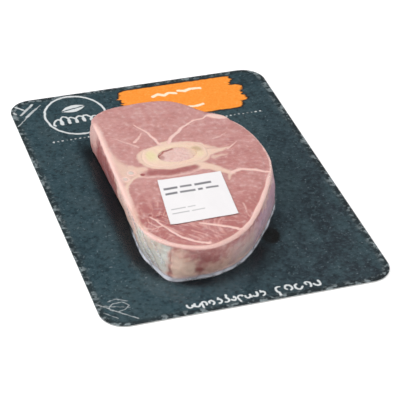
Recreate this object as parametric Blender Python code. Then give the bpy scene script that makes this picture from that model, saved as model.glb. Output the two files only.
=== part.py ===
"""Skin pack of meat: a veal shank slice with its marrow bone, sealed by a clear film onto a printed card board.

The frame's origin is the centre of the board's underside, +Y runs to the board's far short side and +Z is up.
"""

import math

import bmesh
import bpy
from mathutils import Vector

MM = 0.001

# Fit between touching pieces: each keeps this gap to its neighbour.
GAP = 0.3 * MM

# Card board.
BOARD_WIDTH = 178 * MM
BOARD_LENGTH = 250 * MM
BOARD_THICK = 0.8 * MM
BOARD_CORNER = 15 * MM
BOARD_CORNER_STEPS = 10

# Meat slice: the outline of its upper rim, through which a smooth closed curve runs.
SLICE_THICK = 21.5 * MM
SLICE_RIM_MM = (
    (-48.5, 58), (-41, 65), (-34, 68), (-22, 69), (-8, 69.5), (6, 67), (17, 58), (25, 48), (33, 43.5),
    (38, 35), (44, 22), (47.5, 6), (48, -12), (44, -29), (34, -49), (22, -68), (8, -84), (-8, -93),
    (-22, -94.5), (-36, -88), (-46, -78), (-51, -64), (-51.5, -40), (-51, -15), (-50, 15), (-49, 40),
)
SLICE_STEPS = 96
EDGE_ROUND = 3 * MM
EDGE_STEPS = 3
WALL_BULGE = 1.0 * MM
WALL_LEVELS = 5
FOOT_ROUND = 1.2 * MM

# Where the foot of the slice stands out from the rim above it, or in: place on the rim, amount, reach.
FOOT_FLARES_MM = (
    ((42, -36), 2.6, 30),
    ((-37, -88), 8.0, 9),
    ((-51.5, -25), -4.0, 50),
    ((-14, -95), -0.5, 14),
)

# Marrow bone, sawn through with the slice: an ellipse drawn towards a rectangle.
BONE_CENTRE = Vector((-8.5 * MM, 4.8 * MM))
BONE_HALF = (20.0 * MM, 11.5 * MM)
BONE_SQUARENESS = 2.6
MARROW_CENTRE = Vector((-7.0 * MM, 3.8 * MM))
MARROW_HALF = (12.5 * MM, 8.0 * MM)
BONE_STEPS = 48

# Clear film, drawn tight over the slice and sealed to the board out to its edge.
FILM_THICK = 0.3 * MM
TENT_HEIGHT = 4.0 * MM
TENT_REACH = 5.0 * MM
TENT_SMOOTHING = 4

# Paper label, stuck on the film.
LABEL_CENTRE = Vector((-10 * MM, -45 * MM))
LABEL_WIDTH = 41 * MM
LABEL_LENGTH = 46 * MM
LABEL_THICK = 0.2 * MM
LABEL_TURN = math.radians(-4.5)

# Levels, from the ground up.
SLICE_FOOT_Z = BOARD_THICK + GAP
SLICE_TOP_Z = SLICE_FOOT_Z + SLICE_THICK
LABEL_Z = SLICE_TOP_Z + GAP + FILM_THICK + GAP


def clear_scene():
    for obj in list(bpy.data.objects):
        bpy.data.objects.remove(obj)


def new_material(name, colour, roughness, alpha=1.0):
    material = bpy.data.materials.new(name)
    material.use_nodes = True
    shader = material.node_tree.nodes["Principled BSDF"]
    shader.inputs["Base Color"].default_value = (*colour, 1.0)
    shader.inputs["Roughness"].default_value = roughness
    shader.inputs["Metallic"].default_value = 0.0
    shader.inputs["Alpha"].default_value = alpha
    return material


def add_object(name, bm, material):
    """Turns a bmesh into the named object, with its faces pointing out."""
    bmesh.ops.recalc_face_normals(bm, faces=bm.faces)
    mesh = bpy.data.meshes.new(name)
    bm.to_mesh(mesh)
    bm.free()
    mesh.materials.append(material)
    mesh.shade_smooth()
    mesh.set_sharp_from_angle(angle=math.radians(40))
    obj = bpy.data.objects.new(name, mesh)
    bpy.context.scene.collection.objects.link(obj)
    return obj


def smooth_closed_curve(knots, per_span=24):
    """Points of a Catmull-Rom curve through the knots, as a closed loop."""
    points = []
    for i, start in enumerate(knots):
        before, end, after = knots[i - 1], knots[(i + 1) % len(knots)], knots[(i + 2) % len(knots)]
        for step in range(per_span):
            t = step / per_span
            points.append(
                0.5
                * (
                    2 * start
                    + (end - before) * t
                    + (2 * before - 5 * start + 4 * end - after) * t**2
                    + (3 * start - before - 3 * end + after) * t**3
                )
            )
    return points


def evenly_spaced(points, count):
    """The closed loop resampled to this many points, equally far apart along it."""
    lengths = [0.0]
    for i, point in enumerate(points):
        lengths.append(lengths[-1] + (points[(i + 1) % len(points)] - point).length)
    found, span = [], 0
    for k in range(count):
        target = lengths[-1] * k / count
        while lengths[span + 1] < target:
            span += 1
        share = (target - lengths[span]) / (lengths[span + 1] - lengths[span])
        found.append(points[span].lerp(points[(span + 1) % len(points)], share))
    return found


def outward_normals(points):
    """Unit normals of a closed clockwise loop, pointing away from its inside."""
    normals = []
    for i in range(len(points)):
        along = points[(i + 1) % len(points)] - points[i - 1]
        normals.append(Vector((-along.y, along.x)).normalized())
    return normals


def foot_flare(point):
    """How far the slice's foot stands out beyond its rim, near this point of the rim."""
    total = 0.0
    for place, amount, reach in FOOT_FLARES_MM:
        distance = (point - Vector(place) * MM).length
        total += amount * MM * math.exp(-((distance / (reach * MM)) ** 2))
    return total


RIM = evenly_spaced(smooth_closed_curve([Vector(knot) * MM for knot in SLICE_RIM_MM]), SLICE_STEPS)
RIM_NORMALS = outward_normals(RIM)
FLARES = [foot_flare(point) for point in RIM]


def wall_offset(flare, height):
    """The wall's distance outside the rim at a height from 0, its foot, to 1, where the top edge's rounding starts."""
    return flare * (1 - height) + WALL_BULGE * math.sin(math.pi * height)


def rim_ring(offsets, z):
    """A level ring of 3D points, each moved out from the rim by its own offset."""
    return [
        Vector((point.x + normal.x * out, point.y + normal.y * out, z))
        for point, normal, out in zip(RIM, RIM_NORMALS, offsets)
    ]


def wall_rings(clearance, lowest_z):
    """Rings up the slice's wall and round its top edge, this far outside the slice, from lowest_z up."""
    rings = []
    shoulder_z = SLICE_TOP_Z - EDGE_ROUND
    for level in range(WALL_LEVELS):
        z = lowest_z + (shoulder_z - lowest_z) * level / WALL_LEVELS
        height = (z - SLICE_FOOT_Z) / (shoulder_z - SLICE_FOOT_Z)
        rings.append(rim_ring([wall_offset(flare, height) + clearance for flare in FLARES], z))
    for step in range(EDGE_STEPS + 1):
        turn = math.pi / 2 * step / EDGE_STEPS
        out = (EDGE_ROUND + clearance) * math.cos(turn) - EDGE_ROUND
        z = shoulder_z + (EDGE_ROUND + clearance) * math.sin(turn)
        rings.append(rim_ring([out] * SLICE_STEPS, z))
    return rings


def relaxed(ring, rounds):
    """The ring with its tight bends eased, at the same height."""
    for _ in range(rounds):
        ring = [
            (ring[i - 1] + 2 * ring[i] + ring[(i + 1) % len(ring)]) / 4 for i in range(len(ring))
        ]
    return ring


def add_ring(bm, points):
    """A closed loop of edges through the points."""
    verts = [bm.verts.new(point) for point in points]
    return [bm.edges.new((verts[i - 1], verts[i])) for i in range(len(verts))]


def bridge_rings(bm, rings):
    """Joins each ring's edge loop to the next and returns all the loops."""
    loops = [add_ring(bm, ring) for ring in rings]
    for lower, upper in zip(loops, loops[1:]):
        bmesh.ops.bridge_loops(bm, edges=lower + upper)
    return loops


def cap(bm, loop):
    bmesh.ops.contextual_create(bm, geom=loop)


def fill_between(bm, outer, inner):
    """Fills the flat band between two loops, one inside the other."""
    bmesh.ops.triangle_fill(bm, edges=outer + inner, use_beauty=True)


def squared_ellipse_radius(half, angle, squareness):
    """Distance from the centre to a superellipse, in this direction."""
    across = abs(math.cos(angle) / half[0]) ** squareness
    along = abs(math.sin(angle) / half[1]) ** squareness
    return (across + along) ** (-1 / squareness)


def bone_ring(angles, clearance, z):
    """The bone's outer outline in these directions from its centre, this far outside the bone."""
    half = (BONE_HALF[0] + clearance, BONE_HALF[1] + clearance)
    points = []
    for angle in angles:
        radius = squared_ellipse_radius(half, angle, BONE_SQUARENESS)
        points.append(
            Vector((BONE_CENTRE.x + radius * math.cos(angle), BONE_CENTRE.y + radius * math.sin(angle), z))
        )
    return points


def marrow_ring(clearance, z):
    half = (MARROW_HALF[0] + clearance, MARROW_HALF[1] + clearance)
    points = []
    for angle in full_turn(BONE_STEPS):
        points.append(
            Vector((MARROW_CENTRE.x + half[0] * math.cos(angle), MARROW_CENTRE.y + half[1] * math.sin(angle), z))
        )
    return points


def full_turn(steps):
    """Equal angles round a full turn, clockwise as the rim runs."""
    return [-2 * math.pi * step / steps for step in range(steps)]


def rounded_rectangle(width, length, corner, z):
    """A rectangle with round corners about the origin, clockwise from the left side's far end."""
    points = []
    for quarter, (side_x, side_y) in enumerate(((-1, 1), (1, 1), (1, -1), (-1, -1))):
        centre = Vector((side_x * (width / 2 - corner), side_y * (length / 2 - corner), z))
        for step in range(BOARD_CORNER_STEPS + 1):
            angle = math.pi - math.pi / 2 * (quarter + step / BOARD_CORNER_STEPS)
            points.append(centre + Vector((math.cos(angle), math.sin(angle), 0)) * corner)
    return points


def make_board():
    bm = bmesh.new()
    levels = (0.0, BOARD_THICK)
    loops = bridge_rings(bm, [rounded_rectangle(BOARD_WIDTH, BOARD_LENGTH, BOARD_CORNER, z) for z in levels])
    cap(bm, loops[0])
    cap(bm, loops[-1])
    return add_object("board", bm, new_material("slate_print_card", (0.035, 0.055, 0.065), 0.5))


def make_meat():
    """The slice's muscle, one solid with the bone's hole through it."""
    bm = bmesh.new()
    foot = rim_ring([flare - FOOT_ROUND for flare in FLARES], SLICE_FOOT_Z)
    wall = bridge_rings(bm, [foot, *wall_rings(0.0, SLICE_FOOT_Z + FOOT_ROUND)])
    angles = full_turn(BONE_STEPS)
    hole = bridge_rings(bm, [bone_ring(angles, GAP, z) for z in (SLICE_FOOT_Z, SLICE_TOP_Z)])
    fill_between(bm, wall[0], hole[0])
    fill_between(bm, wall[-1], hole[-1])
    return add_object("meat", bm, new_material("veal_muscle", (0.50, 0.20, 0.19), 0.35))


def make_bone():
    """The bone's hollow shaft, with the marrow's hole through it."""
    bm = bmesh.new()
    angles = full_turn(BONE_STEPS)
    rings = [
        bone_ring(angles, 0.0, SLICE_FOOT_Z),
        bone_ring(angles, 0.0, SLICE_TOP_Z),
        marrow_ring(GAP, SLICE_TOP_Z),
        marrow_ring(GAP, SLICE_FOOT_Z),
    ]
    loops = bridge_rings(bm, rings)
    bmesh.ops.bridge_loops(bm, edges=loops[-1] + loops[0])
    return add_object("bone", bm, new_material("sawn_bone", (0.78, 0.66, 0.45), 0.45))


def make_marrow():
    bm = bmesh.new()
    loops = bridge_rings(bm, [marrow_ring(0.0, SLICE_FOOT_Z), marrow_ring(0.0, SLICE_TOP_Z)])
    cap(bm, loops[0])
    cap(bm, loops[-1])
    return add_object("marrow", bm, new_material("marrow", (0.62, 0.38, 0.34), 0.4))


def film_side(clearance):
    """Rings of one side of the film, this far off the slice and the board: tent foot first, then up and over."""
    tent_top = SLICE_FOOT_Z + TENT_HEIGHT
    board_z = BOARD_THICK + clearance
    wall = wall_rings(clearance, tent_top)
    tent = []
    for share in (1.0, 0.55, 0.2):
        # The tent leaves the wall steeply and runs out flat along the board.
        z = board_z + (tent_top - board_z) * (1 - share) ** 2
        offsets = [wall_offset(flare, 0.0) + WALL_BULGE + clearance + TENT_REACH * share for flare in FLARES]
        tent.append(relaxed(rim_ring(offsets, z), round(TENT_SMOOTHING * share)))
    return tent + wall


def make_film():
    """One thin closed skin: its underside, its outside, and the cut edge that joins them at the board's edge."""
    bm = bmesh.new()
    edges = []
    for clearance in (GAP, GAP + FILM_THICK):
        loops = bridge_rings(bm, film_side(clearance))
        cap(bm, loops[-1])
        edge = add_ring(
            bm, rounded_rectangle(BOARD_WIDTH, BOARD_LENGTH, BOARD_CORNER, BOARD_THICK + clearance)
        )
        fill_between(bm, edge, loops[0])
        edges.append(edge)
    bmesh.ops.bridge_loops(bm, edges=edges[0] + edges[1])
    return add_object("film", bm, new_material("clear_film", (0.9, 0.9, 0.9), 0.1, alpha=0.15))


def make_label():
    bm = bmesh.new()
    bmesh.ops.create_cube(bm, size=1.0)
    bmesh.ops.scale(bm, vec=(LABEL_WIDTH, LABEL_LENGTH, LABEL_THICK), verts=bm.verts)
    bmesh.ops.translate(bm, vec=(0, 0, LABEL_THICK / 2), verts=bm.verts)
    label = add_object("label", bm, new_material("label_paper", (0.85, 0.85, 0.87), 0.6))
    label.location = (LABEL_CENTRE.x, LABEL_CENTRE.y, LABEL_Z)
    label.rotation_euler = (0, 0, LABEL_TURN)
    return label


def main():
    clear_scene()
    make_board()
    make_meat()
    make_bone()
    make_marrow()
    make_film()
    make_label()


main()
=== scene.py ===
# %% [markdown]
# # A skin pack of meat
#
# A slice of veal shank lies on a flat card board that is printed like slate. A clear film is drawn
# tight over the meat and sealed to the card, and a paper label is stuck on top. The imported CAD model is
# loaded first. It gives every size and place, so each cell below only adds the looks on top of it.

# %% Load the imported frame
import math

import bmesh
import bpy
import numpy as np
from mathutils import Matrix, Vector, noise
from mathutils.bvhtree import BVHTree


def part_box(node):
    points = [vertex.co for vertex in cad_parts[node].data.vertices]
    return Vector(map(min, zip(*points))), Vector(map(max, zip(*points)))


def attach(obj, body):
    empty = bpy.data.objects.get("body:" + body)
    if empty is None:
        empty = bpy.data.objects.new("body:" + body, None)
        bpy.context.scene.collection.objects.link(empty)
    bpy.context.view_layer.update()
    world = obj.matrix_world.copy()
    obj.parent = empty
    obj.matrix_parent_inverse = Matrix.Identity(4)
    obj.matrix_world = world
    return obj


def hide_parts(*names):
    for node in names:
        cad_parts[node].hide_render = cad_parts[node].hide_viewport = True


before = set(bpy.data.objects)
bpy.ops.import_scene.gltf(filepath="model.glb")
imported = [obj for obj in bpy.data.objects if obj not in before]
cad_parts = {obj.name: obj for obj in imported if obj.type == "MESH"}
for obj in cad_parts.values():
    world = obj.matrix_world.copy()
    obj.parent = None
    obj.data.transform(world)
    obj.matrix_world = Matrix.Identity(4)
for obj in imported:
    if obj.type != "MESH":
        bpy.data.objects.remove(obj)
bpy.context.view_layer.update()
MM = 0.001
print("nodes:", sorted(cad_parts))

# %% [markdown]
# ## Camera
#
# The view is from the front left and above, with a long lens, as for a shop's picture of a pack. The
# camera is aimed at a point on the table, and then rolled a little about its own view line.

# %% Camera
CAMERA_PLACE = Vector((-0.2950, -0.8867, 0.6408))
CAMERA_TARGET = Vector((0.0017, -0.0167, 0.0))
CAMERA_ROLL = math.radians(1.70)
LENS_MM = 162.0

camera_data = bpy.data.cameras.new("camera")
camera_data.lens = LENS_MM
camera_data.sensor_width = 36.0
camera = bpy.data.objects.new("camera", camera_data)
bpy.context.scene.collection.objects.link(camera)
aim = (CAMERA_TARGET - CAMERA_PLACE).to_track_quat("-Z", "Y").to_matrix()
rolled = aim @ Matrix.Rotation(CAMERA_ROLL, 3, "Z")
camera.matrix_world = Matrix.Translation(CAMERA_PLACE) @ rolled.to_4x4()
bpy.context.scene.camera = camera
print("camera looks from", tuple(round(c, 3) for c in CAMERA_PLACE))

# %% [markdown]
# ## Helpers for colours and nodes
#
# Colours are written as the hex values that a painter would pick on a screen, and one function turns
# them to the linear values that Blender renders with. One more function adds a shader node, sets its
# settings and links its inputs. The rest are built on it: one lays colours over each other by masks, as
# glazes are laid, one gives noise of a real size, and one tears the edge of a mask.

# %% Colour and node helpers
def linear(hex_colour):
    """An sRGB hex colour as linear RGBA."""
    channels = [int(hex_colour[i : i + 2], 16) / 255 for i in (1, 3, 5)]
    return (*[c / 12.92 if c <= 0.04045 else ((c + 0.055) / 1.055) ** 2.4 for c in channels], 1.0)


def new_material(name):
    """A material with an empty node tree."""
    material = bpy.data.materials.new(name)
    material.use_nodes = True
    material.node_tree.nodes.clear()
    return material


def add_node(material, kind, inputs=None, **settings):
    """Adds a node. An input is a value, or a socket to link from."""
    node = material.node_tree.nodes.new(kind)
    for name, value in settings.items():
        setattr(node, name, value)
    for key, value in (inputs or {}).items():
        if isinstance(value, bpy.types.NodeSocket):
            material.node_tree.links.new(value, node.inputs[key])
        else:
            node.inputs[key].default_value = value
    return node


def layered(material, colour, *layers):
    """Lays colours over a first one. A layer is a mask (a socket, or a painted one's name), the two
    values of it between which its share grows from nothing, the share that it ends at, and a colour."""
    for mask, low, high, strongest, upper in layers:
        if isinstance(mask, str):
            mask = add_node(material, "ShaderNodeAttribute", attribute_name=mask).outputs["Fac"]
        limits = {"Value": mask, "From Min": low, "From Max": high, "To Max": strongest}
        share = add_node(material, "ShaderNodeMapRange", limits).outputs["Result"]
        upper = linear(upper) if isinstance(upper, str) else upper
        mix = add_node(material, "ShaderNodeMix", {0: share, 6: colour, 7: upper}, data_type="RGBA")
        colour = mix.outputs[2]
    return colour


def grain(material, size_mm, detail=3.0, roughness=0.5, seed=0.0, stretch=(1, 1, 1)):
    """Noise in Object coordinates whose blotches are about size_mm wide. Returns its socket."""
    place = add_node(material, "ShaderNodeTexCoord").outputs["Object"]
    moves = {"Vector": place, "Location": (seed, seed, seed), "Scale": stretch}
    moved = add_node(material, "ShaderNodeMapping", moves).outputs[0]
    pattern = {"Vector": moved, "Scale": 1 / (size_mm * 2 * MM), "Detail": detail, "Roughness": roughness}
    return add_node(material, "ShaderNodeTexNoise", pattern).outputs["Fac"]


def ragged(material, mask_name, pattern, amount=0.35):
    """A painted mask whose soft edge is cut up by a pattern. Returns its socket."""
    mask = add_node(material, "ShaderNodeAttribute", attribute_name=mask_name).outputs["Fac"]
    centred = add_node(material, "ShaderNodeMath", {0: pattern, 1: 0.5}, operation="SUBTRACT").outputs[0]
    sums = {0: centred, 1: amount, 2: mask}
    return add_node(material, "ShaderNodeMath", sums, operation="MULTIPLY_ADD").outputs[0]


print("helpers are ready")

# %% [markdown]
# ## Studio
#
# The pack is shown on a plain pale floor. Three wide soft lights, overhead, at the right front and at the
# left back, give the even brightness of a light tent, and a faint fourth one behind glints on the edges.
# The sky is kept dim, because a bright one would mirror in the film and wash out the dark card.

# %% Studio
FLOOR_SIZE = 6.0
SKY_STRENGTH = 0.13
LIGHTS = (
    # name, place and size in metres, watts; all point at the middle of the pack
    ("overhead", (0, 0, 1.6), 1.2, 14.4),
    ("right_front", (1.1, -1.2, 0.9), 1.9, 16),
    ("left_back", (-1.2, 0.3, 0.75), 1.8, 23),
    ("edge_glint", (0.85, 0.9, 0.45), 0.35, 1.0),
)

for name, place, size, watts in LIGHTS:
    data = bpy.data.lights.new(name, "AREA")
    data.shape = "DISK"
    data.size = size
    data.energy = watts
    light = bpy.data.objects.new(name, data)
    bpy.context.scene.collection.objects.link(light)
    light.location = place
    light.rotation_euler = (-Vector(place)).to_track_quat("-Z", "Y").to_euler()

world = bpy.data.worlds.new("sky")
world.use_nodes = True
world.node_tree.nodes["Background"].inputs["Color"].default_value = linear("#ffffff")
world.node_tree.nodes["Background"].inputs["Strength"].default_value = SKY_STRENGTH
bpy.context.scene.world = world
bpy.context.scene.view_settings.view_transform = "Standard"

floor_bm = bmesh.new()
bmesh.ops.create_grid(floor_bm, x_segments=1, y_segments=1, size=FLOOR_SIZE / 2)
floor_mesh = bpy.data.meshes.new("floor")
floor_bm.to_mesh(floor_mesh)
floor_bm.free()
floor = bpy.data.objects.new("floor", floor_mesh)
bpy.context.scene.collection.objects.link(floor)
floor_finish = new_material("matt_white_paper_sweep")
matt = {"Base Color": linear("#fbfbfb"), "Roughness": 0.9, "Specular IOR Level": 0.1}
surface = add_node(floor_finish, "ShaderNodeBsdfPrincipled", matt)
add_node(floor_finish, "ShaderNodeOutputMaterial", {"Surface": surface.outputs[0]})
floor_mesh.materials.append(floor_finish)
print("floor and", len(LIGHTS), "lights")

# %% [markdown]
# ## The slice's outline
#
# Several pieces follow the wall of the slice: the muscle, the film and the seams near the edge. So the
# outline is measured once from the CAD solid. Rays are cast inwards at it from all round, at any height,
# and a light smoothing takes the flat facets out of what they find.

# %% Measure the slice
FOOT_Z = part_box("meat")[0].z
TOP_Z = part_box("meat")[1].z
BOARD_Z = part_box("board")[1].z
SLICE_CENTRE = np.array([-3.0, -14.0]) * MM
RIM_POINTS = 720
FACET_SMOOTHING_MM = 2.2
SHOULDER_Z = TOP_Z - 3.2 * MM
RAY_START = 0.2

solid_bm = bmesh.new()
solid_bm.from_mesh(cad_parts["meat"].data)
meat_tree = BVHTree.FromBMesh(solid_bm)
solid_bm.free()


def wall_reach(angles, z):
    """How far the CAD slice reaches from its centre, in these directions, at this height."""
    found = []
    for angle in angles:
        out = Vector((math.cos(angle), math.sin(angle), 0))
        start = Vector((*SLICE_CENTRE, z)) + out * RAY_START
        found.append(RAY_START - meat_tree.ray_cast(start, -out)[3])
    return np.array(found)


def eased(values, width_mm):
    """Values along the closed rim, smoothed over about width_mm."""
    count = len(values)
    away = np.minimum(np.arange(count), count - np.arange(count)) * (RIM_LENGTH_MM / count)
    weights = np.exp(-0.5 * (away / width_mm) ** 2)
    return np.real(np.fft.ifft(np.fft.fft(values) * np.fft.fft(weights / weights.sum())))


rough_angles = np.linspace(0, 2 * math.pi, 1441)
rough_reach = wall_reach(rough_angles, SHOULDER_Z)
rough_rim = SLICE_CENTRE + rough_reach[:, None] * np.c_[np.cos(rough_angles), np.sin(rough_angles)]
steps = np.linalg.norm(np.diff(rough_rim, axis=0), axis=1)
travelled = np.r_[0, np.cumsum(steps)]
RIM_LENGTH_MM = travelled[-1] / MM
RIM_ANGLES = np.interp(np.arange(RIM_POINTS) / RIM_POINTS * travelled[-1], travelled, rough_angles)
RIM_REACH = eased(wall_reach(RIM_ANGLES, SHOULDER_Z), FACET_SMOOTHING_MM)
RIM = SLICE_CENTRE + RIM_REACH[:, None] * np.c_[np.cos(RIM_ANGLES), np.sin(RIM_ANGLES)]
tangent = np.roll(RIM, -1, axis=0) - np.roll(RIM, 1, axis=0)
RIM_OUT = np.c_[tangent[:, 1], -tangent[:, 0]] / np.linalg.norm(tangent, axis=1)[:, None]
print(f"the slice is {RIM_LENGTH_MM:.0f} mm round and {(TOP_Z - FOOT_Z) / MM:.1f} mm thick")

# %% [markdown]
# ## Masks
#
# The cut face of a shank is a map: several muscles, with pale sheets of connective tissue between them
# that all run to the bone. Each of these is painted as a mask on the mesh's points, from a short route
# in millimetres. A node mix per feature could do the same, but one mask holds many routes at once. The
# points are first moved by a little noise, so that no route looks ruled.

# %% Mask helpers
def smooth_step(value, low, high):
    share = np.clip((value - low) / (high - low), 0, 1)
    return share * share * (3 - 2 * share)


def within(value, low, high, soft):
    """A mask where a value lies between two limits, with soft edges."""
    return smooth_step(value, low - soft, low + soft) * (1 - smooth_step(value, high - soft, high + soft))


def from_route(points, route):
    """Distance in mm of each point from a route, and how far along it the nearest place is, from 0 to 1."""
    route = np.array(route, float)
    lengths = np.linalg.norm(np.diff(route, axis=0), axis=1)
    starts = np.r_[0, np.cumsum(lengths)]
    best = np.full(len(points), 1e9)
    along = np.zeros(len(points))
    for start, end, length, before in zip(route, route[1:], lengths, starts):
        share = np.clip((points - start) @ (end - start) / length**2, 0, 1)
        away = np.linalg.norm(points - start - share[:, None] * (end - start), axis=1)
        nearer = away < best
        best[nearer] = away[nearer]
        along[nearer] = ((before + share * length) / starts[-1])[nearer]
    return best, along


def strip(points, route, widths, soft=0.5):
    """A mask along a route that is widths[0] mm wide at its start and widths[1] at its end."""
    away, along = from_route(points, route)
    half = (widths[0] + (widths[1] - widths[0]) * along) / 2
    return 1 - smooth_step(away, half - soft, half + soft)


def spot(points, centre, radii, turn_degrees=0.0, soft=0.25):
    """A mask over an ellipse, with an edge that is soft by a share of its radius."""
    turn = math.radians(turn_degrees)
    moved = points - np.array(centre)
    across = (moved[:, 0] * math.cos(turn) + moved[:, 1] * math.sin(turn)) / radii[0]
    along = (moved[:, 1] * math.cos(turn) - moved[:, 0] * math.sin(turn)) / radii[1]
    return 1 - smooth_step(np.hypot(across, along), 1 - soft, 1 + soft)


def wavy(points, size_mm, amount_mm, seed=0.0):
    """3D points in mm, moved by smooth noise."""
    moved = [noise.noise_vector(Vector(p) / size_mm + Vector((seed, seed, seed))) for p in points]
    return points + amount_mm * np.array(moved)


def mottle(points, size_mm, seed=0.0):
    """Smooth noise at 3D points in mm, about -1 to 1."""
    return np.array([noise.noise(Vector(p) / size_mm + Vector((seed, -seed, seed))) for p in points]) * 1.6


def mottle_along(values, size, seed=0.0):
    """The same noise along one line of values."""
    return mottle(np.c_[values / size, values * 0, values * 0], 1.0, seed=seed)


def over(mask, *others):
    """The strongest of several masks at each point."""
    for other in others:
        mask = np.maximum(mask, other)
    return mask


print("mask helpers are ready")

# %% [markdown]
# ## The muscle's mesh
#
# Rings of the measured outline are stacked up the wall and over the edge, and then run in to the bone and
# down the hole that it fills. That cage is bent from one flat grid. A voxel remesh turns it into even
# small faces, which one subdivision halves again, so that a point on the mesh is about as fine as the
# eye sees in a picture of the whole pack. The hidden underside is left as a few large faces.

# %% Rings, grids and pieces
def wrapped_grid(rings):
    """A grid bent round into a tube, with one row of points for each ring."""
    rows, columns = rings.shape[:2]
    bm = bmesh.new()
    bmesh.ops.create_grid(bm, x_segments=columns, y_segments=rows - 1, size=1)
    bm.verts.ensure_lookup_table()
    for index, vert in enumerate(bm.verts):
        row, column = divmod(index, columns + 1)
        vert.co = rings[row, column % columns]
    bmesh.ops.remove_doubles(bm, verts=bm.verts, dist=1e-7)
    bmesh.ops.recalc_face_normals(bm, faces=bm.faces)
    return bm


def places_mm(bm):
    """The points of a bmesh, in mm."""
    return np.array([vert.co for vert in bm.verts]) / MM


def paint(bm, **masks):
    """Stores one number per mask for each point of the piece, for its material to read."""
    for name, values in masks.items():
        layer = bm.verts.layers.float.new(name)
        for vert, value in zip(bm.verts, values):
            vert[layer] = value


def relax(bm, verts, times, factor=0.5, flatten_only=False):
    """Smooths these points, or only their heights."""
    sideways = not flatten_only
    for _ in range(times):
        bmesh.ops.smooth_vert(
            bm, verts=verts, factor=factor, use_axis_x=sideways, use_axis_y=sideways, use_axis_z=True
        )


def add_piece(name, bm, finish, slot, *nodes, smooth=True):
    """Makes the bmesh a piece that rides on the pack and stands for these CAD nodes."""
    mesh = bpy.data.meshes.new(name)
    bm.to_mesh(mesh)
    bm.free()
    if smooth:
        mesh.shade_smooth()
    mesh.materials.append(finish)
    piece = bpy.data.objects.new(name, mesh)
    bpy.context.scene.collection.objects.link(piece)
    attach(piece, "root")
    if nodes:
        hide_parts(*nodes)
    print(f"{name}: {len(mesh.polygons)} faces")
    return piece


def flat_ring(points, z):
    """2D points as a ring at one height, or each at its own."""
    return np.c_[points, np.zeros(len(points)) + z]


def ellipse_ring(node, directions, grow, squareness=2.0):
    """The outline of a CAD node as a squared ellipse, in these directions from its centre."""
    low, high = (np.array(corner)[:2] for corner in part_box(node))
    half = (high - low) / 2 + grow
    unit = np.c_[np.cos(directions), np.sin(directions)]
    reach = (np.abs(unit / half) ** squareness).sum(axis=1) ** (-1 / squareness)
    return (low + high) / 2 + reach[:, None] * unit


BONE_SQUARENESS = 2.6
EDGE_ROUND = 2.0 * MM
FOOT_ROUND = 1.2 * MM


def slice_rings(grow=0.0, lowest=FOOT_Z, wall_rows=8, edge_rows=5, every=2):
    """Rings up the slice's wall and round its top edge, this far outside the CAD slice."""
    angles = RIM_ANGLES[::every]
    rings = []
    for z in np.linspace(lowest, SHOULDER_Z, wall_rows):
        reach = wall_reach(RIM_ANGLES, max(z, FOOT_Z + FOOT_ROUND))
        reach = eased(reach, FACET_SMOOTHING_MM)[::every]
        points = SLICE_CENTRE + reach[:, None] * np.c_[np.cos(angles), np.sin(angles)]
        rings.append(flat_ring(points + RIM_OUT[::every] * grow, z))
    for turn in np.linspace(0, math.pi / 2, edge_rows):
        out = (EDGE_ROUND + grow) * math.cos(turn) - EDGE_ROUND
        z = TOP_Z - EDGE_ROUND + (EDGE_ROUND + grow) * math.sin(turn)
        rings.append(flat_ring(RIM[::every] + RIM_OUT[::every] * out, z))
    return rings


print("the grid and ring makers are ready")

# %% Muscle mesh
VOXEL = 1.12 * MM

wall = slice_rings(lowest=FOOT_Z + FOOT_ROUND)
foot = wall[0] - np.c_[RIM_OUT[::2] * FOOT_ROUND, np.full(len(wall[0]), FOOT_ROUND)]
low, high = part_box("bone")
bone_centre = np.array((low + high) / 2)[:2]
to_bone = np.arctan2(*(RIM[::2] - bone_centre).T[::-1])
hole = ellipse_ring("bone", to_bone, 0.1 * MM, BONE_SQUARENESS)
cage = np.array([foot, *wall, flat_ring(hole, TOP_Z), flat_ring(hole, FOOT_Z), foot])
cage_bm = wrapped_grid(cage)
cage_mesh = bpy.data.meshes.new("cage")
cage_bm.to_mesh(cage_mesh)
cage_bm.free()
cage_object = bpy.data.objects.new("cage", cage_mesh)
bpy.context.scene.collection.objects.link(cage_object)
remesh = cage_object.modifiers.new("even_faces", "REMESH")
remesh.mode = "VOXEL"
remesh.voxel_size = VOXEL
graph = bpy.context.evaluated_depsgraph_get()
meat_bm = bmesh.new()
meat_bm.from_object(cage_object, graph)
bpy.data.objects.remove(cage_object)

lowest = FOOT_Z + 0.4 * VOXEL
underside = [f for f in meat_bm.faces if f.calc_center_median().z < lowest and f.normal.z < -0.9]
bmesh.ops.delete(meat_bm, geom=underside, context="FACES")
bmesh.ops.subdivide_edges(meat_bm, edges=meat_bm.edges, cuts=1, use_grid_fill=True)
relax(meat_bm, meat_bm.verts, 3)
open_edges = [edge for edge in meat_bm.edges if edge.is_boundary]
bmesh.ops.triangle_fill(meat_bm, edges=open_edges, use_beauty=True)
bmesh.ops.recalc_face_normals(meat_bm, faces=meat_bm.faces)
meat_bm.normal_update()
print("the muscle has", len(meat_bm.verts), "points")

# %% [markdown]
# ## The muscle's map
#
# First the routes of the pale seams, then the cream tissue round the bone, the dark muscle below it, the
# skin that shows as a pale band at the edge, and the patches on the wall, where fat, skin and bare muscle
# take turns. A wall patch is given by the two places on the rim that it lies between, and its heights.

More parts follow.
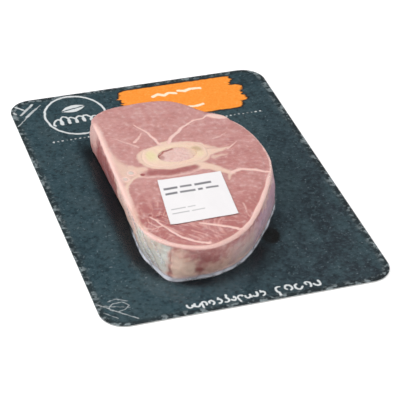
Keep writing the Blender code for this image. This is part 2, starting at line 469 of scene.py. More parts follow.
# %% Paint the muscle's masks
SEAMS = (
    # route in mm, widths at its start and end, strength
    (((-14.3, 18.1), (-15.4, 24.5), (-18.1, 32.2), (-20.9, 38.5), (-23.6, 44)), (1.9, 0.7), 1.0),
    (((-28.8, 24.5), (-25.2, 28.1), (-22, 33.3)), (2.1, 0.4), 0.8),
    (((-28.1, 18.2), (-31.7, 23), (-36.3, 27.3), (-42, 33)), (1.8, 0.6), 0.55),
    (
        ((-8.5, 18), (-5.4, 23), (0.4, 28.3), (3.7, 32), (8.6, 35.4), (13.7, 38.6), (20.4, 39.2), (24, 42)),
        (2.5, 0.9),
        0.95,
    ),
    (((8.6, 35.4), (12, 35), (15, 36.5)), (1.4, 0.3), 0.5),
    (((19.9, 15.1), (29.9, 19.5)), (1.1, 0.5), 0.6),
    (((25.3, 1.8), (30.7, 6.1), (33, 8)), (1.6, 0.5), 0.8),
    (((19.1, -24.1), (22, -23), (27.2, -22.6), (33.1, -24.6), (41, -29.7), (44.5, -31)), (2.6, 1.6), 0.9),
    (
        ((-42.4, -54.7), (-39.1, -59.7), (-37.7, -65.4), (-34.9, -71.6), (-30, -79.6), (-24, -86), (-16.4, -89.7)),
        (1.2, 1.8),
        1.0,
    ),
    (((-44.5, -60.5), (-41, -65.6), (-37.7, -66)), (0.8, 1.4), 0.7),
    (((-48.9, -64.9), (-44, -67.5), (-38.5, -66)), (1.8, 0.6), 0.6),
    (((-15.2, -69.1), (-6.4, -74.2), (3.5, -81.1), (7, -82.5)), (1.6, 2.4), 0.95),
    (((-2, -71), (6, -73), (11, -76.5)), (0.8, 0.4), 0.5),
    (((15.4, -57.2), (14.5, -70.7)), (1.0, 0.6), 0.6),
    (((-35.9, -12.9), (-32, -14.7), (-26.2, -15.8), (-16.2, -17.5), (-6, -17.6), (3, -15)), (2.4, 2.2), 0.5),
)
CREAM_ROUTES = (
    # route, widths, strength, softness of the edge
    (((-39.2, -3.2), (-36, -6), (-32, -6)), (6, 5), 0.85, 1.4),
    (((-48.2, 16), (-46, 4), (-43, -5), (-38, -9)), (3.4, 10), 0.8, 2.4),
    (((-46.5, -2), (-44.5, -8), (-45, -15)), (5, 7), 0.8, 1.8),
    (((-35.9, -11.5), (-41.8, -14.8), (-46.2, -19.7), (-48.5, -25.4), (-49.5, -34)), (2.2, 2.6), 1.0, 0.9),
    (((-50, -22), (-50, -44), (-50.5, -60), (-48.5, -68)), (5, 2.6), 0.6, 1.4),
    (((10, 1.5), (16.1, 1.6), (21, 2.2), (26.2, 3.6)), (9, 1.4), 1.0, 1.3),
    (((8, 9), (14, 7), (19, 5)), (6, 1.4), 0.9, 1.4),
    (((14, -5), (18, -4.6), (23, -4)), (3, 0.6), 0.7, 0.9),
    (((3.4, -11.5), (9, -15), (13.5, -19.8), (19.1, -24.6)), (7.5, 3.2), 1.0, 1.2),
    (((18.5, -24), (16.6, -27.5), (15.3, -31)), (3.4, 1), 0.9, 0.9),
    (((-12, 17.6), (-8.5, 18.8)), (5, 3), 1.0, 1.0),
)
CRESCENT = ((-28.5, -10.6), (-21, -12.2), (-13, -13.6), (-5, -12.4), (0.3, -11.8))
DARK_SPOTS = (((-33.5, -11), (1.5, 1.1)), ((-37.5, -55.4), (1.5, 1)), ((-41.6, -52.4), (1, 0.7)))
VESSELS = (((-40.5, -7.6), (2.1, 1.9)), ((-45.8, -13.4), (1.7, 1.5)))
RIM_BAND_START, RIM_BAND_END = (-50, -66), (47.3, -8)


def rim_place(point_mm):
    """How far round the rim, in mm, the place nearest this point is."""
    nearest = np.argmin(np.linalg.norm(RIM / MM - np.array(point_mm), axis=1))
    return nearest / RIM_POINTS * RIM_LENGTH_MM


def between(places, start, end, soft=4.0):
    """A mask over the stretch of rim from one place to another, anticlockwise."""
    first = rim_place(start)
    length = (rim_place(end) - first) % RIM_LENGTH_MM
    gone = (places - first + RIM_LENGTH_MM / 4) % RIM_LENGTH_MM - RIM_LENGTH_MM / 4
    return within(gone, 0, length, soft / 2)


def nearest_on_rim(points_mm, batch=4000):
    """For each 2D point, how far inside the rim it is and how far round, in mm."""
    inside = np.empty(len(points_mm))
    round_rim = np.empty(len(points_mm))
    for first in range(0, len(points_mm), batch):
        part = points_mm[first : first + batch]
        apart = part[:, None, :] - RIM[None] / MM
        nearest = np.argmin((apart**2).sum(axis=2), axis=1)
        rows = np.arange(len(part))
        inside[first : first + batch] = -(apart[rows, nearest] * RIM_OUT[nearest]).sum(axis=1)
        round_rim[first : first + batch] = nearest / RIM_POINTS * RIM_LENGTH_MM
    return inside, round_rim


def bone_edge_mm(points_mm, grow=0.0):
    """How far the bone reaches from its middle towards each of these 2D points, in mm."""
    directions = np.arctan2(*(points_mm * MM - bone_centre).T[::-1])
    edge = ellipse_ring("bone", directions, grow, BONE_SQUARENESS)
    return np.linalg.norm(edge - bone_centre, axis=1) / MM


spots = places_mm(meat_bm)
facing = np.array([vert.normal for vert in meat_bm.verts])
warped = wavy(spots, 7, 0.7)
warped = wavy(warped, 2.2, 0.35, seed=5)
flat = warped[:, :2]
height = (spots[:, 2] * MM - FOOT_Z) / (TOP_Z - FOOT_Z)
inside, places = nearest_on_rim(spots[:, :2])
on_top = smooth_step(spots[:, 2] * MM, TOP_Z - 1.9 * MM, TOP_Z - 0.7 * MM)
near_bone = np.linalg.norm((spots[:, :2] - bone_centre / MM) / (24, 15), axis=1) < 1
in_hole = near_bone & (spots[:, 2] * MM < TOP_Z - 0.5 * MM)

seams = np.zeros(len(spots))
for route, widths, strength in SEAMS:
    seams = over(seams, strength * strip(flat, route, widths, soft=0.55))
cream = np.zeros(len(spots))
for route, widths, strength, soft in CREAM_ROUTES:
    cream = over(cream, strength * strip(flat, route, widths, soft=soft))
from_bone = np.linalg.norm(flat - bone_centre / MM, axis=1) - bone_edge_mm(flat)
lower = bone_centre / MM - flat
below_bone = smooth_step(lower[:, 1] + 0.35 * lower[:, 0], -8, 6)
bone_collar = 1 - smooth_step(from_bone, 0.6 + 2.2 * below_bone, 2.4 + 2.6 * below_bone)
cream = over(cream, bone_collar, in_hole * 1.0)
deep = 0.68 * strip(flat, CRESCENT, (5.4, 4.0), soft=1.3)
for centre, radii in DARK_SPOTS:
    deep = over(deep, spot(flat, centre, radii))
cream *= 1 - deep
seams *= 1 - deep
grey = np.zeros(len(spots))
for centre, radii in VESSELS:
    grey = over(grey, 0.8 * spot(flat, centre, radii, soft=0.4))
    cream *= 1 - 0.7 * spot(flat, centre, radii, soft=0.4)
    wider = np.array(radii) + 1.0
    seams = over(seams, spot(flat, centre, wider, soft=0.2) - spot(flat, centre, radii, soft=0.3))
print("the cut face is painted")

# %% Paint the edge and the wall
front_band = between(places, RIM_BAND_START, RIM_BAND_END, soft=16)
thin_band = between(places, (47.3, -8), (38, 33), soft=6)
left_band = between(places, (-49, 58), (-50, -14), soft=8)
right_part = between(places, (43, -36), RIM_BAND_END, soft=20)
band_depth = 0.6 + 2.4 * front_band * (1 - 0.55 * right_part) + 0.6 * thin_band
band_depth += 0.4 * mottle_along(places, 12)
band = smooth_step(inside, -0.4, 0.5) * (1 - smooth_step(inside, band_depth - 0.5, band_depth + 0.5))
# The skin band is brighter at the front right: a painted highlight, for the film's gleam along that edge.
band_highlight = between(places, (5, -84), (45, -34), soft=16)
band *= on_top * over(0.72 * front_band, 0.95 * band_highlight, 0.9 * thin_band, 0.7 * left_band, np.array(0.4))
left_wide = between(places, (-49, 52), (-50.5, -44), soft=14)
band = over(band, on_top * left_wide * 0.8 * (1 - smooth_step(inside, 1.5, 4.2 + 1.5 * left_wide)))
lump = spot(flat, (30.5, 39), (7.5, 2.6), -28)

on_wall = 1 - on_top
WALL_PATCHES = (
    # mask, from, to, its lowest and highest height as shares of the thickness, strength
    ("grey", (-50.5, -55), (-41.5, -89.2), (-0.2, 1.1), 1.0),
    ("cream", (-50.5, -64), (-45, -82), (0.62, 1.0), 0.5),
    # Pale at the foot of the front left wall: a painted highlight, for the whitish bead of film along the foot.
    ("pale", (-50, -74), (-42, -88.5), (-0.2, 0.2), 0.4),
    ("cream", (-41, -89.5), (-24, -94), (0.0, 0.72), 0.95),
    ("cream", (-41, -89.5), (-31, -93), (0.6, 0.95), 0.55),
    ("cream", (-24, -94), (-4, -92), (0.0, 0.5), 0.6),
    ("cream", (-4, -92), (8, -85), (0.0, 0.4), 0.4),
    ("cream", (-6, -94), (20, -72), (0.4, 0.85), 0.3),
    ("deep", (-26, -94), (-12, -94), (0.4, 0.95), 0.35),
    # Pale along the foot of the front wall: a painted highlight, for the whitish bead of film along the foot.
    ("pale", (-38, -91), (34, -50), (-0.2, 0.16), 0.9),
    ("grey", (2, -88), (40, -44), (0.0, 0.6), 0.6),
    ("lilac", (-4, -90), (24, -66), (0.2, 0.9), 0.3),
    ("grey", (-6, -92), (16, -78), (0.1, 0.7), 0.35),
    ("lilac", (16, -78), (48, -14), (0.1, 0.85), 0.75),
    ("pale", (24, -64), (48, 0), (0.75, 1.0), 0.6),
    ("pale", (-52, 62), (-50, 36), (0.4, 1.0), 0.5),
    ("deep", (-49.5, 40), (-51, -12), (0.0, 0.85), 0.8),
    # Dark along the foot of the left wall: painted shade, for the dark line where the wall meets the card.
    ("deep", (-49.5, 44), (-51.5, -30), (-0.3, 0.1), 1.0),
    ("cream", (-50.5, -8), (-51, -60), (0.15, 1.0), 0.8),
    ("pale", (-50.5, -12), (-51, -56), (0.5, 1.0), 0.7),
    ("grey", (-51, -20), (-51, -62), (0.0, 0.4), 0.6),
    ("pale", (30, 44), (0, 68), (0.2, 1.0), 0.5),
    ("lilac", (45, 14), (33, 42), (0.0, 0.8), 0.5),
    ("cream", (-10, 69), (-44, 62), (0.0, 0.7), 0.4),
)
FILM_FOLDS = (
    # x, y and height at the top, the same at the foot, strength
    ((-51.3, -50, 19.5), (-48, -76, 3), 1.0),
    ((-51.4, -38, 18.0), (-50, -66, 2), 0.8),
    ((-50.5, -66, 19.5), (-44.5, -83, 2), 0.8),
    ((-51, -20, 15.0), (-51.4, -42, 2), 0.8),
    ((-50, 20, 14.0), (-51, 2, 3), 0.5),
    ((-47.5, -76, 19), (-43, -86, 8), 0.6),
    ((26, -66, 12), (12, -82, 2), 0.4),
    ((46, -20, 16), (38, -46, 3), 0.4),
)
FURROW_STEP_MM = 1.3
streaks = mottle(np.c_[places / 3.5, height * 9, height * 0], 1.0, seed=3)
wall_masks = {name: np.zeros(len(spots)) for name in ("pale", "grey", "cream", "deep", "lilac")}
for name, start, end, (lowest, highest), strength in WALL_PATCHES:
    level = height + 0.10 * streaks
    patch = between(places + 1.6 * streaks, start, end, soft=7) * within(level, lowest, highest, 0.1)
    wall_masks[name] = over(wall_masks[name], strength * patch * on_wall)
unrolled = np.c_[places, height * (TOP_Z - FOOT_Z) / MM]
crease_top, crease_foot = (rim_place((-41.3, -89.3)), 20.5), (rim_place((-40, -90.5)), 0.0)
crease_middle = tuple(np.mean([crease_top, crease_foot], axis=0))
crease = 0.55 * strip(unrolled, (crease_top, crease_foot), (0.5, 0.7), soft=0.45) * on_wall
stain_place = rim_place((-23.5, -94))
stain = 0.9 * spot(unrolled + 0.4 * streaks[:, None], (stain_place, 7), (2.8, 2.2), soft=0.7)
stain = over(stain, 0.65 * spot(unrolled + streaks[:, None], (stain_place + 2, 14), (9, 3.6), soft=0.8))
stain = over(stain, 0.4 * spot(unrolled, (stain_place + 1, 10.5), (3.5, 5), soft=0.8)) * on_wall
# Furrows that the film's folds press into the wall; the same mask darkens them as painted shade in the groove.
shaded_furrow = np.zeros(len(spots))
for top, low_end, strength in FILM_FOLDS:
    route = [(rim_place(end[:2]) + FURROW_STEP_MM, end[2]) for end in (top, low_end)]
    line = strip(unrolled + 0.6 * streaks[:, None], route, (0.5, 1.0), soft=0.5)
    shaded_furrow = over(shaded_furrow, strength * line * on_wall)
wound = strip(unrolled + 0.5 * streaks[:, None], (crease_middle, crease_foot), (0.6, 3.6), soft=1.0)
wound = 0.7 * wound * on_wall

masks = {
    "pale": over(seams * on_top, band, 0.9 * lump, wall_masks["pale"]),
    "cream": over(cream * on_top, in_hole * 1.0, wall_masks["cream"]),
    "deep": over(deep * on_top, wall_masks["deep"], crease, wound, stain),
    "grey": over(grey * on_top, wall_masks["grey"]),
    "lilac": wall_masks["lilac"],
    "shaded_furrow": shaded_furrow,
}
ground = spots[:, :2]
redder = smooth_step(-spots[:, 1], 22, 60) * 0.75 + 0.25 * mottle(spots, 16, seed=2)
for strength, centre, radii, soft in ((0.8, (-41, -54), (7, 6), 0.8), (0.5, (9.5, -73), (4, 3), 0.6)):
    redder += strength * spot(ground, centre, radii, soft=soft)
redder += 0.35 * spot(ground, (32, -12), (17, 20), soft=0.7)
masks["red"] = np.clip(redder, 0, 1)
from_middle = flat - bone_centre / MM
fibre_angle = np.arctan2(from_middle[:, 1], from_middle[:, 0]) + 0.15 * mottle(spots, 25, seed=6)
fibre_run = np.linalg.norm(from_middle, axis=1)
fibres = mottle(np.c_[fibre_angle * 42, fibre_run / 10, spots[:, 2] / 3], 1.0, seed=11)
fibres += 0.6 * mottle(np.c_[fibre_angle * 80, fibre_run / 6, spots[:, 2] / 2], 1.0, seed=12)
grain_way = np.array([[0.66, -0.75], [0.75, 0.66]])
combed = (flat @ grain_way.T) / (9.0, 1.15)
combed_part = spot(ground, (-27, -70), (20, 11), -48, soft=0.5)
combed_fibres = mottle(np.c_[combed, spots[:, 2] / 3], 1.0, seed=15)
fibres = fibres * (1 - 0.7 * combed_part) + 1.9 * combed_fibres * combed_part
streaky = 0.25 + 1.5 * spot(ground, (-28, -64), (24, 24), soft=0.5)
streaky += 0.45 * spot(ground, (30, -6), (20, 24), soft=0.5) + 0.5 * spot(ground, (8, -74), (24, 14), soft=0.6)
streaky = np.clip(streaky, 0, 1.6)
masks["fibre"] = np.clip(0.5 + 0.45 * fibres * streaky, 0, 1)
print("the wall is painted")

# %% [markdown]
# ## The muscle's relief
#
# Cut muscle swells a little between its seams, because the film pulls it tight and the tough tissue
# holds it back. So each point is moved along its normal: in at a seam, the crescent and the crease, out
# at the skin band, with low swellings between them. The face also dips under the label.

# %% Shape the muscle
DIP_CENTRE, DIP_RADII, DIP_DEPTH = np.array([-32.0, -45.0]), np.array([26.0, 34.0]), 1.4


def dip(points_mm):
    """How far the cut face lies below the CAD's flat one, in mm."""
    return DIP_DEPTH * np.exp(-(((points_mm[:, :2] - DIP_CENTRE) / DIP_RADII) ** 2).sum(axis=1))


groove = strip(np.c_[inside, places * 0], ((4.3, -1), (4.3, 1)), (0.9, 0.9), soft=0.5) * front_band * on_top
rise = 0.16 * mottle(spots, 11, seed=1) + 0.07 * mottle(spots, 3.2, seed=8)
rise += -0.30 * masks["pale"] * (1 - band) * on_top - 0.15 * cream * on_top - 0.40 * deep * on_top
rise += 0.35 * band - 0.35 * groove + 0.7 * lump * on_top
folds = mottle(np.c_[places / 3.0, height * 1.2, height * 0], 1.0, seed=13)
rise += on_wall * (0.16 * streaks + 0.22 * folds + 0.08 * mottle(spots, 4, seed=4))
rise -= 0.5 * crease + 0.25 * wound + 0.4 * shaded_furrow
rise *= 1 - smooth_step(-height, -0.12, 0.0)
rise[in_hole] = 0
lowered = dip(spots) * smooth_step(height, 0.5, 1.0)
for vert, normal, out, down in zip(meat_bm.verts, facing, rise, lowered):
    vert.co += Vector(normal * out * MM)
    vert.co.z -= down * MM

paint(meat_bm, **masks)
print("relief from", round(rise.min(), 2), "to", round(rise.max(), 2), "mm")

# %% [markdown]
# ## Raw veal
#
# Raw veal is a pale, moist muscle: a little light goes in and comes out again, so its colour glows, and
# its wet surface has a soft gloss. The masks choose between the tissues. Each mask's edge is broken by
# noise about a millimetre wide, because tissue ends in fibres and not in a line.

# %% Veal finish
FIBRE_MM, BLOTCH_MM, FLECK_MM = 0.8, 5.0, 1.5

veal = new_material("raw_veal")
fibres = grain(veal, FIBRE_MM, detail=4)
blotches = grain(veal, BLOTCH_MM, detail=3, seed=0.03)
flecks = grain(veal, FLECK_MM, detail=4, seed=0.05)
colour = layered(
    veal,
    linear("#c48e8a"),
    ("red", 0, 1, 1, "#ae6561"),
    (blotches, 0.38, 0.66, 0.55, "#ca9c97"),
    (blotches, 0.5, 0.32, 0.45, "#b3807a"),
    (flecks, 0.54, 0.7, 0.52, "#ddb2a9"),
    (flecks, 0.46, 0.3, 0.45, "#ab6b6b"),
    ("fibre", 0.55, 0.95, 0.6, "#dfb0a8"),
    ("fibre", 0.42, 0.05, 0.55, "#a9686a"),
    (ragged(veal, "grey", flecks), 0, 1, 1, "#d2d1c9"),
    (ragged(veal, "lilac", flecks), 0, 1, 1, "#cdabbf"),
    (ragged(veal, "cream", fibres), 0.05, 1, 1, "#e6c8b6"),
    (ragged(veal, "pale", fibres), 0.12, 0.88, 1, "#edc9c0"),
    # Painted shade in the furrows under the film's folds.
    ("shaded_furrow", 0, 1, 0.6, "#85776c"),
    (ragged(veal, "deep", fibres), 0, 1, 1, "#9a5453"),
)
both = add_node(veal, "ShaderNodeMath", {0: fibres, 1: flecks}, operation="ADD").outputs[0]
relief = add_node(veal, "ShaderNodeBump", {"Height": both, "Strength": 0.35, "Distance": 0.25 * MM})
wetness = {"Value": flecks, "From Min": 0.3, "From Max": 0.7, "To Min": 0.34, "To Max": 0.5}
moist_meat = {
    "Base Color": colour,
    "Roughness": add_node(veal, "ShaderNodeMapRange", wetness).outputs["Result"],
    "IOR": 1.38,
    "Subsurface Weight": 0.18,
    "Subsurface Radius": (1.0, 0.35, 0.25),
    "Subsurface Scale": 1.6 * MM,
    "Normal": relief.outputs[0],
}
surface = add_node(veal, "ShaderNodeBsdfPrincipled", moist_meat)
add_node(veal, "ShaderNodeOutputMaterial", {"Surface": surface.outputs[0]})
muscle_piece = add_piece("veal_slice", meat_bm, veal, "meat", "meat")

# %% [markdown]
# ## Bone and marrow
#
# The saw leaves the bone as a flat ring with a slightly raised, worn edge, and the marrow in it as a
# soft plug that has sunk a little at its border. Both are grids bent round and closed at a pole or at
# the ring's foot. The bone is dense and smooth outside and porous near the marrow.

# %% Bone and marrow shapes
ROUND = np.linspace(0, 2 * math.pi, 160, endpoint=False)
BONE_FOOT = FOOT_Z
BONE_RISE, MARROW_SINK = 0.16 * MM, 0.25 * MM
BONE_LIP = 1.2 * MM


def organ_level(points, size_mm, amount_mm, seed):
    """Small height changes for a grown surface, in metres, at 2D points in metres."""
    spots_mm = np.c_[points / MM, np.zeros(len(points))]
    return amount_mm * MM * mottle(spots_mm, size_mm, seed=seed)


outer = ellipse_ring("bone", ROUND, BONE_LIP, BONE_SQUARENESS)
in_hole_ring = ellipse_ring("bone", ROUND, 0.0, BONE_SQUARENESS)
to_marrow = ellipse_ring("marrow", ROUND, 0.1 * MM)
bone_rings = [flat_ring(in_hole_ring, BONE_FOOT), flat_ring(in_hole_ring, TOP_Z - 1.6 * MM)]
bone_rings.append(flat_ring(outer, TOP_Z - 0.9 * MM))
for share in np.linspace(0, 1, 26):
    points = outer + (to_marrow - outer) * (0.02 + 0.98 * share)
    crown = BONE_RISE * (1 - 3.2 * math.exp(-((share / 0.10) ** 2))) + organ_level(points, 2.5, 0.08, 6)
    bone_rings.append(flat_ring(points, TOP_Z + crown - dip(points / MM) * MM))
bone_rings += [flat_ring(to_marrow, TOP_Z - 1.5 * MM), flat_ring(to_marrow, BONE_FOOT), bone_rings[0]]
bone_bm = wrapped_grid(np.array(bone_rings))

marrow_middle = to_marrow.mean(axis=0)
marrow_rings = [flat_ring(to_marrow * 0 + marrow_middle, BONE_FOOT), flat_ring(to_marrow, BONE_FOOT)]
for share in np.linspace(1, 0, 24):
    points = marrow_middle + (to_marrow - marrow_middle) * share
    sunk = -MARROW_SINK * share**6 * 1.6 + organ_level(points, 2.2, 0.16, 3) * (1 if share else 0)
    marrow_rings.append(flat_ring(points, TOP_Z + sunk - dip(points / MM) * MM))
marrow_bm = wrapped_grid(np.array(marrow_rings))


points = places_mm(bone_bm)
worn = wavy(points, 5, 1.2)[:, :2]
bone_out = np.linalg.norm(points[:, :2] - bone_centre / MM, axis=1)
butter_left = spot(worn, (-24.5, 6.5), (4.2, 5.5), soft=0.5)
pink_above = strip(worn, ((-3, 16), (6, 14), (12, 8)), (2.6, 2), soft=1)
pink_below = strip(worn, ((-28, -5), (-14, -7), (0, -6)), (3, 3), soft=1.2)
paint(
    bone_bm,
    outer=smooth_step(bone_out - bone_edge_mm(points[:, :2], BONE_LIP), -4.5, -1.4),
    butter=over(butter_left, 0.6 * spot(worn, (10, -1), (5, 5), soft=0.7)),
    pinkish=over(pink_above, pink_below),
    dusky=spot(worn, (6.5, 6.5), (3.6, 2.4), -25, soft=0.8),
)

BLOOD_ROUTE = ((-8.5, 10.9), (-15, 9), (-19, 5), (-19.2, 1.5), (-17, -2.2), (-12.5, -4.6), (-7, -5))
worn = wavy(places_mm(marrow_bm), 3, 0.5)[:, :2]
blood_line = 0.95 * strip(worn, BLOOD_ROUTE, (1.6, 1.2), soft=0.7)
blood_patch = 0.55 * spot(worn, (-17.3, 3.2), (1.8, 2.6), soft=0.6)
paint(marrow_bm, blood=over(blood_line, blood_patch), faded=smooth_step(worn[:, 0], -2, 5.5))
print("bone", len(bone_bm.faces), "and marrow", len(marrow_bm.faces), "faces")

# %% Bone and marrow finishes
sawn_bone = new_material("sawn_moist_bone")
pores = grain(sawn_bone, 0.7, detail=3)
clouds = grain(sawn_bone, 3.5, detail=2, seed=0.02)
colour = layered(
    sawn_bone,
    linear("#e9cab6"),
    (clouds, 0.35, 0.65, 1, "#edd4bb"),
    ("butter", 0, 1, 1, "#e4d5ac"),
    ("pinkish", 0, 1, 0.8, "#e9bfae"),
    ("dusky", 0, 1, 0.8, "#bfa281"),
    ("outer", 0, 1, 1, "#e9cab8"),
    (pores, 0.6, 0.75, 0.3, "#c79c7e"),
)
relief = add_node(sawn_bone, "ShaderNodeBump", {"Height": pores, "Strength": 0.3, "Distance": 0.2 * MM})
wetness = {"Value": pores, "From Min": 0.3, "From Max": 0.7, "To Min": 0.35, "To Max": 0.55}
moist_bone = {
    "Base Color": colour,
    "Roughness": add_node(sawn_bone, "ShaderNodeMapRange", wetness).outputs["Result"],
    "IOR": 1.45,
    "Subsurface Weight": 0.1,
    "Subsurface Radius": (1.0, 0.7, 0.4),
    "Subsurface Scale": 1.0 * MM,
    "Normal": relief.outputs[0],
}
surface = add_node(sawn_bone, "ShaderNodeBsdfPrincipled", moist_bone)
add_node(sawn_bone, "ShaderNodeOutputMaterial", {"Surface": surface.outputs[0]})
bone_piece = add_piece("shank_bone", bone_bm, sawn_bone, "bone", "bone")

raw_marrow = new_material("raw_marrow")
lumps = grain(raw_marrow, 0.9, detail=3)
colour = layered(
    raw_marrow,
    linear("#dcb6ae"),
    (lumps, 0.4, 0.62, 1, "#e6c6bf"),
    ("faded", 0, 1, 1, "#e4c7ad"),
    (lumps, 0.62, 0.72, 0.6, "#b98f8b"),
    (ragged(raw_marrow, "blood", lumps), 0.12, 0.88, 1, "#a2615b"),
)
relief = add_node(raw_marrow, "ShaderNodeBump", {"Height": lumps, "Strength": 0.4, "Distance": 0.3 * MM})
soft_marrow = {
    "Base Color": colour,
    "Roughness": 0.36,
    "IOR": 1.45,
    "Subsurface Weight": 0.15,
    "Subsurface Radius": (1.0, 0.5, 0.35),
    "Subsurface Scale": 1.2 * MM,
    "Normal": relief.outputs[0],
}
surface = add_node(raw_marrow, "ShaderNodeBsdfPrincipled", soft_marrow)
add_node(raw_marrow, "ShaderNodeOutputMaterial", {"Surface": surface.outputs[0]})
marrow_piece = add_piece("marrow_plug", marrow_bm, raw_marrow, "marrow", "marrow")

# %% [markdown]
# ## The film
#
# Skin film is heated, drawn over the meat by a vacuum, and sealed to the card right out to its edge. It
# clings to every bump, and bridges only the corner between the wall and the card, as a low tent. So its
# rings start at the card's edge, run in flat, climb the tent and then snap to the nearest point of the
# meat, with a fine gap. A Solidify modifier closes it as a thin skin.

# %% Film shape
FILM_GAP = 0.30 * MM
FILM_THICK = 0.08 * MM
TENT_TOP = FOOT_Z + 2.0 * MM
SEAL_Z = BOARD_Z + 0.12 * MM
CARD_CORNER_MM = 15.0
SKIRT_SHARES = (1.0, 0.985, 0.85, 0.65, 0.45, 0.25, 0.1)
TENT_SHARES = (1.0, 0.8, 0.62, 0.46, 0.32, 0.2, 0.1, 0.0)
TOP_SHARES = np.r_[np.linspace(0.97, 0.1, 34), 0.0]


def loose_on(points_mm):
    """A small wander for lines on the film, in mm, as a column."""
    return mottle(points_mm, 6, seed=14)[:, None]


def tree_of(*objects):
    """One search tree over the faces of several pieces."""
    points, faces = [], []
    for piece in objects:
        first = len(points)
        points += [vert.co.copy() for vert in piece.data.vertices]
        faces += [[first + index for index in face.vertices] for face in piece.data.polygons]
    return BVHTree.FromPolygons(points, faces)


def card_reach(angles, inset):
    """How far the card reaches from the slice's centre in these directions."""
    half = np.array(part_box("board")[1])[:2] - inset
    radius = CARD_CORNER_MM * MM
    found = []
    for angle in angles:
        out = np.array([math.cos(angle), math.sin(angle)])
        with np.errstate(divide="ignore"):
            reach = np.min((np.sign(out) * half - SLICE_CENTRE) / out)
        corner = np.abs(SLICE_CENTRE + reach * out) - (half - radius)
        if (corner > 0).all():
            middle = np.sign(out) * (half - radius) - SLICE_CENTRE
            along = middle @ out
            reach = along + math.sqrt(max(radius**2 - (middle @ middle - along**2), 0))
        found.append(reach)
    return np.array(found)


contents = tree_of(muscle_piece, bone_piece, marrow_piece)
columns = slice(None, None, 2)
angles = RIM_ANGLES[columns]
directions = np.c_[np.cos(angles), np.sin(angles)]
round_mm = np.arange(RIM_POINTS)[columns] / RIM_POINTS * RIM_LENGTH_MM
loose = mottle(np.c_[round_mm / 9, round_mm * 0, round_mm * 0], 1.0, seed=7)
pleats = mottle(np.c_[round_mm / 2.2, round_mm * 0, round_mm * 0], 1.0, seed=9)
base_reach = eased(wall_reach(RIM_ANGLES, TENT_TOP), FACET_SMOOTHING_MM)[columns, None]
tent_base = SLICE_CENTRE + base_reach * directions
tent_reach = (1.3 + 0.45 * loose + 0.15 * pleats) * MM
tent_foot = tent_base + RIM_OUT[columns] * tent_reach[:, None]
card_edge = SLICE_CENTRE + card_reach(angles, 0.3 * MM)[:, None] * directions

film_rings = []
for share in SKIRT_SHARES:
    film_rings.append(flat_ring(tent_foot + (card_edge - tent_foot) * share, SEAL_Z))
for share in TENT_SHARES:
    rise = (TENT_TOP - SEAL_Z) * (1 - share) ** 2.2
    wrinkle = 0.10 * MM * pleats * math.sin(math.pi * share)
    ring = tent_base + RIM_OUT[columns] * (tent_reach * share + wrinkle)[:, None]
    film_rings.append(flat_ring(ring, SEAL_Z + rise))
tight = slice_rings(grow=0.5 * MM, lowest=TENT_TOP + 0.8 * MM, wall_rows=16, edge_rows=6)
last_wall_ring = len(tight) - 1
film_centre = np.array([*SLICE_CENTRE, TOP_Z])
for share in TOP_SHARES:
    tight.append(film_centre + (tight[last_wall_ring] - film_centre) * np.array([share, share, 1]))
for level, ring in enumerate(tight):
    snapped = []
    for point in ring:
        if level > last_wall_ring:
            found = contents.ray_cast(Vector(point) + Vector((0, 0, 0.01)), Vector((0, 0, -1)))
        else:
            found = contents.find_nearest(Vector(point))
        snapped.append(found[0] + found[1] * FILM_GAP)
    film_rings.append(np.array(snapped))
film_bm = wrapped_grid(np.array(film_rings))
for _ in range(2):
    upper = [vert for vert in film_bm.verts if vert.co.z > TENT_TOP]
    relax(film_bm, upper, 1, factor=0.4)
points = places_mm(film_bm)
# The bead mask is a painted highlight: a whitish band along the film's foot, and thin lines along its folds, where
# bunched film catches the light.
bead = (1 - smooth_step(np.abs(points[:, 2] - 2.6), 0.5, 1.8)) * smooth_step(points[:, 2], 1.1, 1.5)
_, film_places = nearest_on_rim(points[:, :2])
bead *= between(film_places, (-51.5, -44), (42, -36), soft=24) * (0.75 + 0.5 * mottle(points, 5, seed=16))
film_unrolled = np.c_[film_places, points[:, 2] - FOOT_Z / MM]
wandering = film_unrolled + 0.5 * loose_on(points)
for top, low_end, strength in FILM_FOLDS:
    route = [(rim_place(end[:2]), end[2]) for end in (top, low_end)]
    bead = over(bead, strength * strip(wandering, route, (0.5, 0.9), soft=0.35))
paint(film_bm, bead=np.clip(bead, 0, 1))
print("film", len(film_bm.faces), "faces")

# %% [markdown]
# ## Clear film
#
# The film is clear polyethylene, smooth from the heat. It hides nothing: nearly all light passes, and
# the rest is mirrored, more so at a glancing angle. So the finish is a see-through shader with a little
# gloss mixed in by how far the surface faces away. A Fresnel mix would do this more exactly, but it takes
# the inner faces of a thin skin for the inside of a block, and mirrors too much there. Where the film is
# bunched at the foot of the slice, and along its folds, a whitish colour is mixed in: a painted highlight,
# for the glints that the bunched film catches there.

# %% Film finish
FILM_GLOSS, FACING_POWER, LEAST_GLOSS = 0.08, 3.0, 0.006
# How much whitish colour the painted highlight on the bunched film adds.
BEAD_HIGHLIGHT = 0.58

